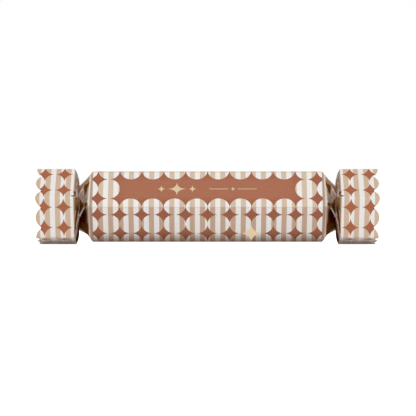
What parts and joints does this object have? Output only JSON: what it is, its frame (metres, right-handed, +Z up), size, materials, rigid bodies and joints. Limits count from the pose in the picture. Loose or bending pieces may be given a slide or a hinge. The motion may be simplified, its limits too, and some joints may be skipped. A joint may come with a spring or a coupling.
{
  "type": "christmas cracker",
  "caption": "Hexagonal folded-card cracker with twist-folded necks and scalloped ends, holding a snap, a soft gift tube with screw cap, a rolled paper crown and a motto.",
  "frame": {"origin": "the middle of the barrel, on the cracker's long axis", "axes": "+X along the cracker to its right end, +Z up out of the barrel's top panel, -Y towards the viewer, where the barrel has a crease"},
  "size_m": [0.2436, 0.0578, 0.0548],
  "materials": {
    "printed_card": "printed folding boxboard, circles filled with white and beige stripes on rust, satin",
    "snap_card": "uncoated grey card",
    "white_paper": "plain white paper",
    "tissue_paper": "rust tissue paper",
    "tube_plastic": "cream satin polyethylene",
    "tube_head_plastic": "natural white moulded plastic",
    "cap_plastic": "rust moulded plastic with fine ribs",
    "seal_foil": "thin gold foil"
  },
  "bodies": {
    "barrel": {"barrel_sleeve": "printed_card", "left_shoulder": "printed_card", "right_shoulder": "printed_card", "snap_band": "white_paper", "gift_tube": "tube_plastic", "gift_tube_head": "tube_head_plastic", "gift_tube_seal": "seal_foil", "paper_crown": "tissue_paper", "crown_band": "white_paper", "motto_slip": "white_paper"},
    "left_snap": {"left_snap_strip": "snap_card"},
    "left_end": {"left_collar": "printed_card", "left_frill": "printed_card"},
    "right_snap": {"right_snap_strip": "snap_card"},
    "right_end": {"right_collar": "printed_card", "right_frill": "printed_card"},
    "gift_cap": {"gift_tube_cap": "cap_plastic"}
  },
  "joints": [
    {"name": "left_pull", "type": "slide", "parent": "barrel", "child": "left_snap", "axis": [-1, 0, 0], "range_m": [0, 0.008], "deforming": ["left_shoulder"]},
    {"name": "left_untwist", "type": "hinge", "parent": "left_snap", "child": "left_end", "pos_m": [-0.0914, 0, 0], "axis": [-1, 0, 0], "range_deg": [0, 21.5], "deforming": ["left_collar"]},
    {"name": "right_pull", "type": "slide", "parent": "barrel", "child": "right_snap", "axis": [1, 0, 0], "range_m": [0, 0.008], "deforming": ["right_shoulder"]},
    {"name": "right_untwist", "type": "hinge", "parent": "right_snap", "child": "right_end", "pos_m": [0.0914, 0, 0], "axis": [-1, 0, 0], "range_deg": [0, 21.5], "deforming": ["right_collar"]},
    {"name": "cap_turn", "type": "hinge", "parent": "barrel", "child": "gift_cap", "pos_m": [0.05, 0, -0.0122], "axis": [1, 0, 0], "continuous": true}
  ],
  "couplings": [
    {"joint": "left_untwist", "follows": "left_pull", "rad_per_m": 46.9},
    {"joint": "right_untwist", "follows": "right_pull", "rad_per_m": 46.9}
  ]
}
